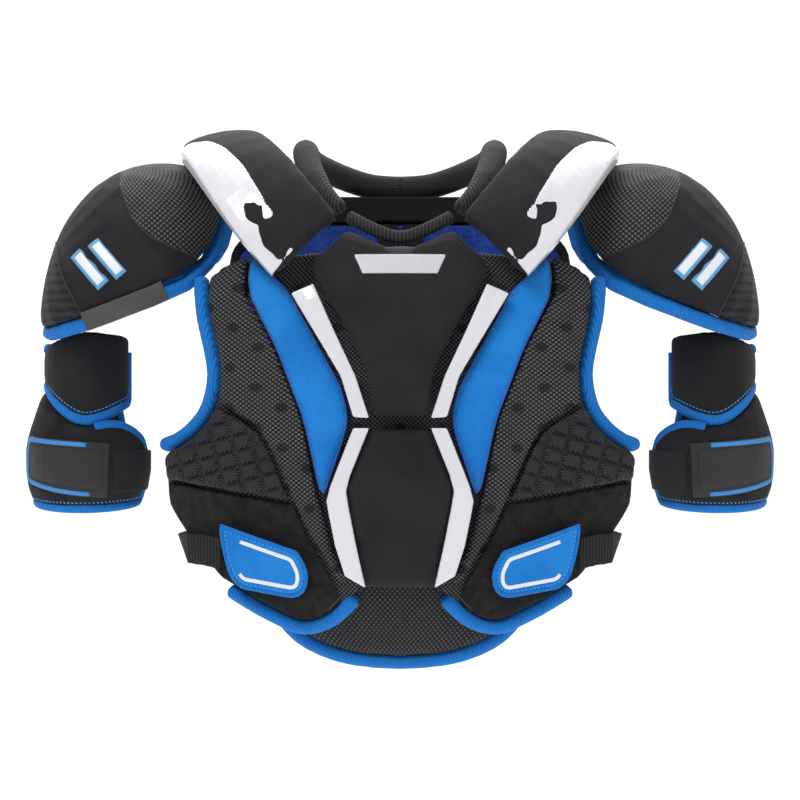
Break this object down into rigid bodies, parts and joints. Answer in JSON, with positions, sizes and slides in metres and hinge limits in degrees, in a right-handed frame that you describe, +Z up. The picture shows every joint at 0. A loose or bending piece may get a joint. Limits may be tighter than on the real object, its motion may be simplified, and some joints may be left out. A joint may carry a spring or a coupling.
{
  "type": "hockey_shoulder_pads",
  "caption": "Ice hockey shoulder pads in black mesh and blue knit with white moulded trims, hinged shoulder caps, collar bone arches, biceps guards and cuffs",
  "frame": {"origin": "on the centre line, midway through the depth of the wearer's torso, level with the lowest point of the belly pad", "axes": "+Z up the wearer's body, -Y the way the chest faces, +X the wearer's left"},
  "size_m": [0.65, 0.2959, 0.4581],
  "materials": {
    "black_mesh": "open mesh",
    "black_knit": "knit",
    "loop_pile": "fuzzy pile",
    "blue_knit": "fine knit",
    "blue_binding": "woven binding",
    "white_plate": "gloss",
    "badge_rubber": "matte",
    "badge_plate": "satin",
    "blue_liner": "brushed",
    "inner_plastic": "moulded",
    "webbing": "elastic webbing",
    "grey_tab": "smooth synthetic",
    "grey_label": "woven"
  },
  "bodies": {
    "torso": {"chest_foam": "black_mesh", "chest_mesh_left": "black_mesh", "chest_mesh_right": "black_mesh", "side_panel_left": "blue_knit", "side_panel_right": "blue_knit", "rib_panel_left": "black_mesh", "rib_panel_right": "black_mesh", "loop_field_left": "loop_pile", "loop_field_right": "loop_pile", "sternum_upper": "black_knit", "sternum_trim_left": "white_plate", "sternum_trim_right": "white_plate", "badge_frame": "badge_rubber", "badge_plate": "badge_plate", "collar_roll": "black_knit", "collar_band": "black_knit", "armhole_binding_left": "blue_binding", "armhole_binding_right": "blue_binding", "hem_binding": "blue_binding", "back_collar": "black_knit", "back_foam": "black_mesh", "back_liner": "blue_liner", "spine_plate": "inner_plastic", "blade_plate_left": "inner_plastic", "blade_plate_right": "inner_plastic", "back_strap_left": "webbing", "back_strap_right": "webbing", "side_strap_left": "webbing", "side_strap_right": "webbing", "belly_pad": "black_mesh", "belly_binding": "blue_binding"},
    "sternum_lower_body": {"sternum_lower": "black_knit", "lower_trim": "white_plate"},
    "side_tab_left_body": {"side_tab_left": "blue_knit"},
    "arch_left_body": {"arch_pad_left": "black_knit", "arch_plate_left": "white_plate"},
    "cap_left_body": {"cap_pad_left": "black_mesh", "cap_shell_left": "inner_plastic", "cap_binding_left": "blue_binding"},
    "bicep_left_body": {"bicep_guard_left": "black_knit", "bicep_plate_left": "inner_plastic"},
    "cuff_left_body": {"cuff_pad_left": "black_knit", "cuff_strap_left": "webbing"},
    "cuff_tab_left_body": {"cuff_tab_left": "grey_tab"},
    "side_tab_right_body": {"side_tab_right": "blue_knit"},
    "arch_right_body": {"arch_pad_right": "black_knit", "arch_plate_right": "white_plate"},
    "cap_right_body": {"cap_pad_right": "black_mesh", "cap_shell_right": "inner_plastic", "cap_binding_right": "blue_binding", "cap_label": "grey_label"},
    "bicep_right_body": {"bicep_guard_right": "black_knit", "bicep_plate_right": "inner_plastic"},
    "cuff_right_body": {"cuff_pad_right": "black_knit", "cuff_strap_right": "webbing"},
    "cuff_tab_right_body": {"cuff_tab_right": "grey_tab"}
  },
  "joints": [
    {"name": "sternum_fold", "type": "hinge", "parent": "torso", "child": "sternum_lower_body", "pos_m": [0, -0.131, 0.2], "axis": [-1, 0, 0], "range_deg": [0, 12]},
    {"name": "side_tab_peel_left", "type": "hinge", "parent": "torso", "child": "side_tab_left_body", "pos_m": [0.153, -0.112, 0.1], "axis": [0, 0, 1], "range_deg": [0, 70]},
    {"name": "arch_lift_left", "type": "hinge", "parent": "torso", "child": "arch_left_body", "pos_m": [0.067, -0.127, 0.35], "axis": [1, 0, 0], "range_deg": [0, 20]},
    {"name": "cap_lift_left", "type": "hinge", "parent": "torso", "child": "cap_left_body", "pos_m": [0.186, 0, 0.422], "axis": [0, -1, 0], "range_deg": [0, 30]},
    {"name": "bicep_swing_left", "type": "hinge", "parent": "cap_left_body", "child": "bicep_left_body", "pos_m": [0.308, 0, 0.278], "axis": [0, -1, 0], "range_deg": [0, 18]},
    {"name": "cuff_slide_left", "type": "slide", "parent": "bicep_left_body", "child": "cuff_left_body", "axis": [0, 0, -1], "range_m": [0, 0.02]},
    {"name": "cuff_tab_peel_left", "type": "hinge", "parent": "cuff_left_body", "child": "cuff_tab_left_body", "pos_m": [0.249, -0.058, 0.16], "axis": [0, 0, -1], "range_deg": [0, 60]},
    {"name": "side_tab_peel_right", "type": "hinge", "parent": "torso", "child": "side_tab_right_body", "pos_m": [-0.153, -0.112, 0.1], "axis": [0, 0, -1], "range_deg": [0, 70]},
    {"name": "arch_lift_right", "type": "hinge", "parent": "torso", "child": "arch_right_body", "pos_m": [-0.067, -0.127, 0.35], "axis": [1, 0, 0], "range_deg": [0, 20]},
    {"name": "cap_lift_right", "type": "hinge", "parent": "torso", "child": "cap_right_body", "pos_m": [-0.186, 0, 0.422], "axis": [0, 1, 0], "range_deg": [0, 30]},
    {"name": "bicep_swing_right", "type": "hinge", "parent": "cap_right_body", "child": "bicep_right_body", "pos_m": [-0.308, 0, 0.278], "axis": [0, 1, 0], "range_deg": [0, 18]},
    {"name": "cuff_slide_right", "type": "slide", "parent": "bicep_right_body", "child": "cuff_right_body", "axis": [0, 0, -1], "range_m": [0, 0.02]},
    {"name": "cuff_tab_peel_right", "type": "hinge", "parent": "cuff_right_body", "child": "cuff_tab_right_body", "pos_m": [-0.249, -0.058, 0.16], "axis": [0, 0, 1], "range_deg": [0, 60]}
  ]
}
